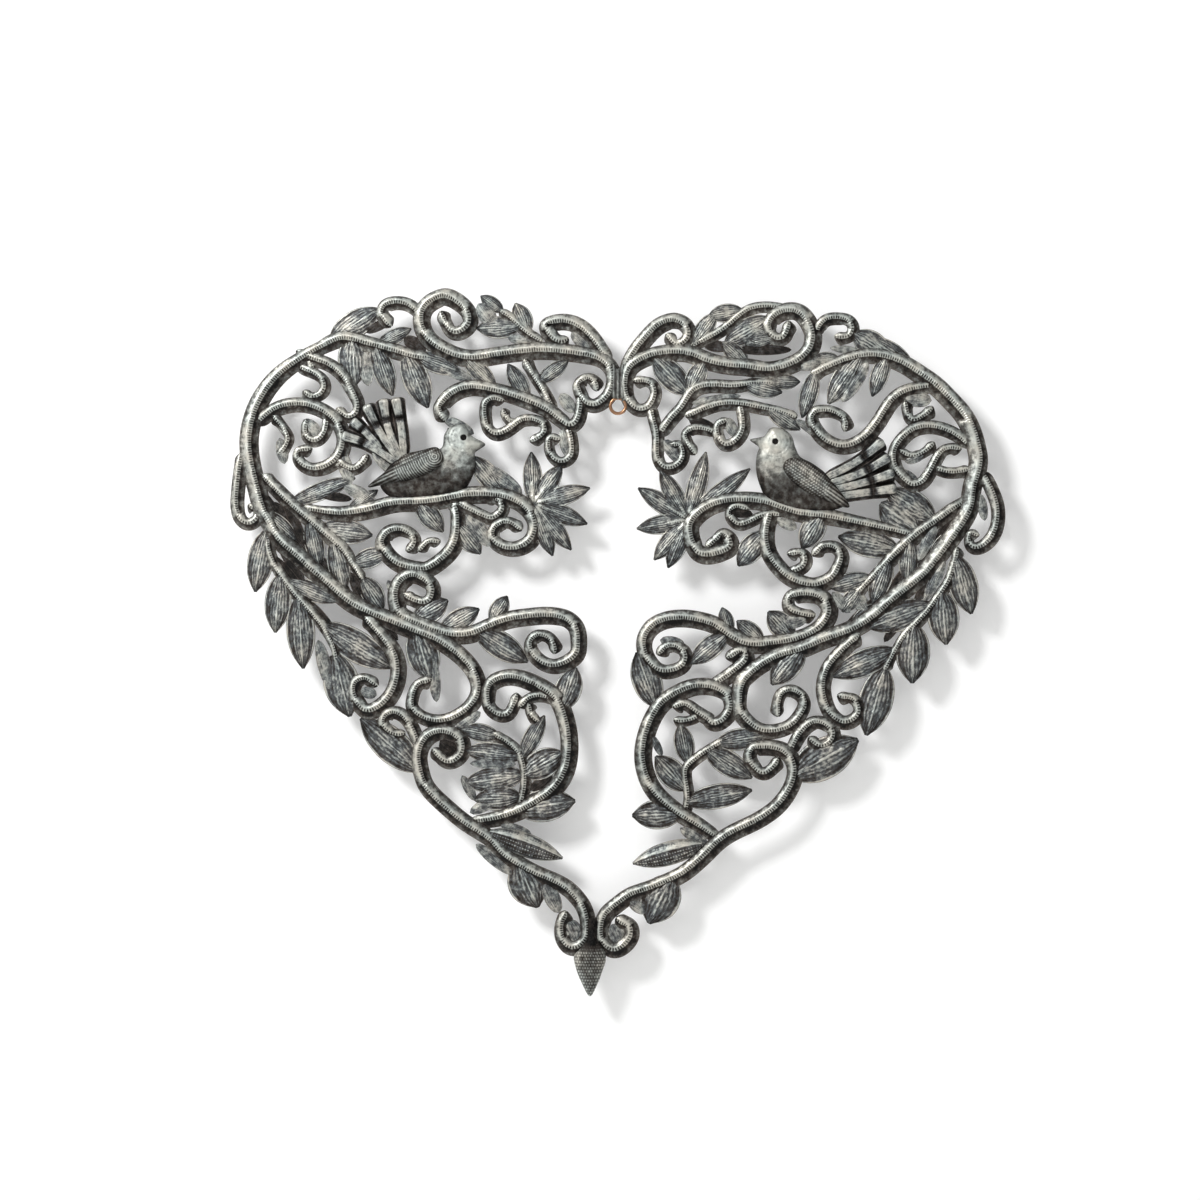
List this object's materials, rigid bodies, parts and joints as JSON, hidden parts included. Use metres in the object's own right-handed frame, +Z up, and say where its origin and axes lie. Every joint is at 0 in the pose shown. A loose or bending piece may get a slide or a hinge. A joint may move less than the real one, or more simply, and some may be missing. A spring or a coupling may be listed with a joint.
{
  "type": "metal heart wall decoration",
  "caption": "Openwork wall heart of chased dark steel scrolls, leaves and two perched birds round a cross-shaped gap, hung by a small loop at the top.",
  "frame": {"origin": "centre of the small hanging hole at the top of the heart, in the plane of the flat back", "axes": "+X to the right as seen from the front along the width, +Y towards the wall across the thin way, +Z up"},
  "size_m": [0.5818, 0.0105, 0.5314],
  "materials": {
    "chased_steel": "dark patinated chased sheet with worn bright crests",
    "dark_chased_steel": "dark patinated chased sheet with fine veins",
    "copper_wire": "drawn copper-coloured wire, slightly dulled"
  },
  "bodies": {
    "root": {"bridge_plate": "chased_steel", "finial_bud": "chased_steel", "hanging_loop": "copper_wire", "left_arch_sprig": "chased_steel", "left_arm_scroll": "chased_steel", "left_bird_body": "chased_steel", "left_bird_tail": "chased_steel", "left_bird_wing": "chased_steel", "left_border_stem": "chased_steel", "left_bud": "dark_chased_steel", "left_corner_curl": "chased_steel", "left_crown_hook": "chased_steel", "left_crown_scroll": "chased_steel", "left_crown_sprig": "chased_steel", "left_edge_hook": "chased_steel", "left_hip_curl": "chased_steel", "left_hip_scroll": "chased_steel", "left_inner_arch": "chased_steel", "left_lower_ring": "chased_steel", "left_outer_leaf_stem": "chased_steel", "left_perch": "chased_steel", "left_perch_bar": "chased_steel", "left_ring_curl": "chased_steel", "left_ring_sprig": "chased_steel", "left_rosette": "dark_chased_steel", "left_second_stem": "chased_steel", "left_side_curl": "chased_steel", "left_side_ring": "chased_steel", "left_small_s_scroll": "chased_steel", "left_tail_stem": "chased_steel", "left_under_perch_scroll": "chased_steel", "right_arch_curl": "chased_steel", "right_arm_scroll": "chased_steel", "right_bird_body": "chased_steel", "right_bird_tail": "chased_steel", "right_bird_wing": "chased_steel", "right_border_stem": "chased_steel", "right_bud": "dark_chased_steel", "right_corner_curl": "chased_steel", "right_crown_hook": "chased_steel", "right_crown_scroll": "chased_steel", "right_crown_sprig": "chased_steel", "right_edge_hook": "chased_steel", "right_hip_curl": "chased_steel", "right_hip_scroll": "chased_steel", "right_inner_arch": "chased_steel", "right_lower_ring": "chased_steel", "right_outer_leaf_stem": "chased_steel", "right_perch": "chased_steel", "right_perch_bar": "chased_steel", "right_ring_curl": "chased_steel", "right_ring_sprig": "chased_steel", "right_rosette": "dark_chased_steel", "right_s_scroll": "chased_steel", "right_second_stem": "chased_steel", "right_side_bar": "chased_steel", "right_side_ring": "chased_steel", "right_tail_stem": "chased_steel", "right_top_curl": "chased_steel", "right_under_perch_scroll": "chased_steel"}
  },
  "joints": []
}
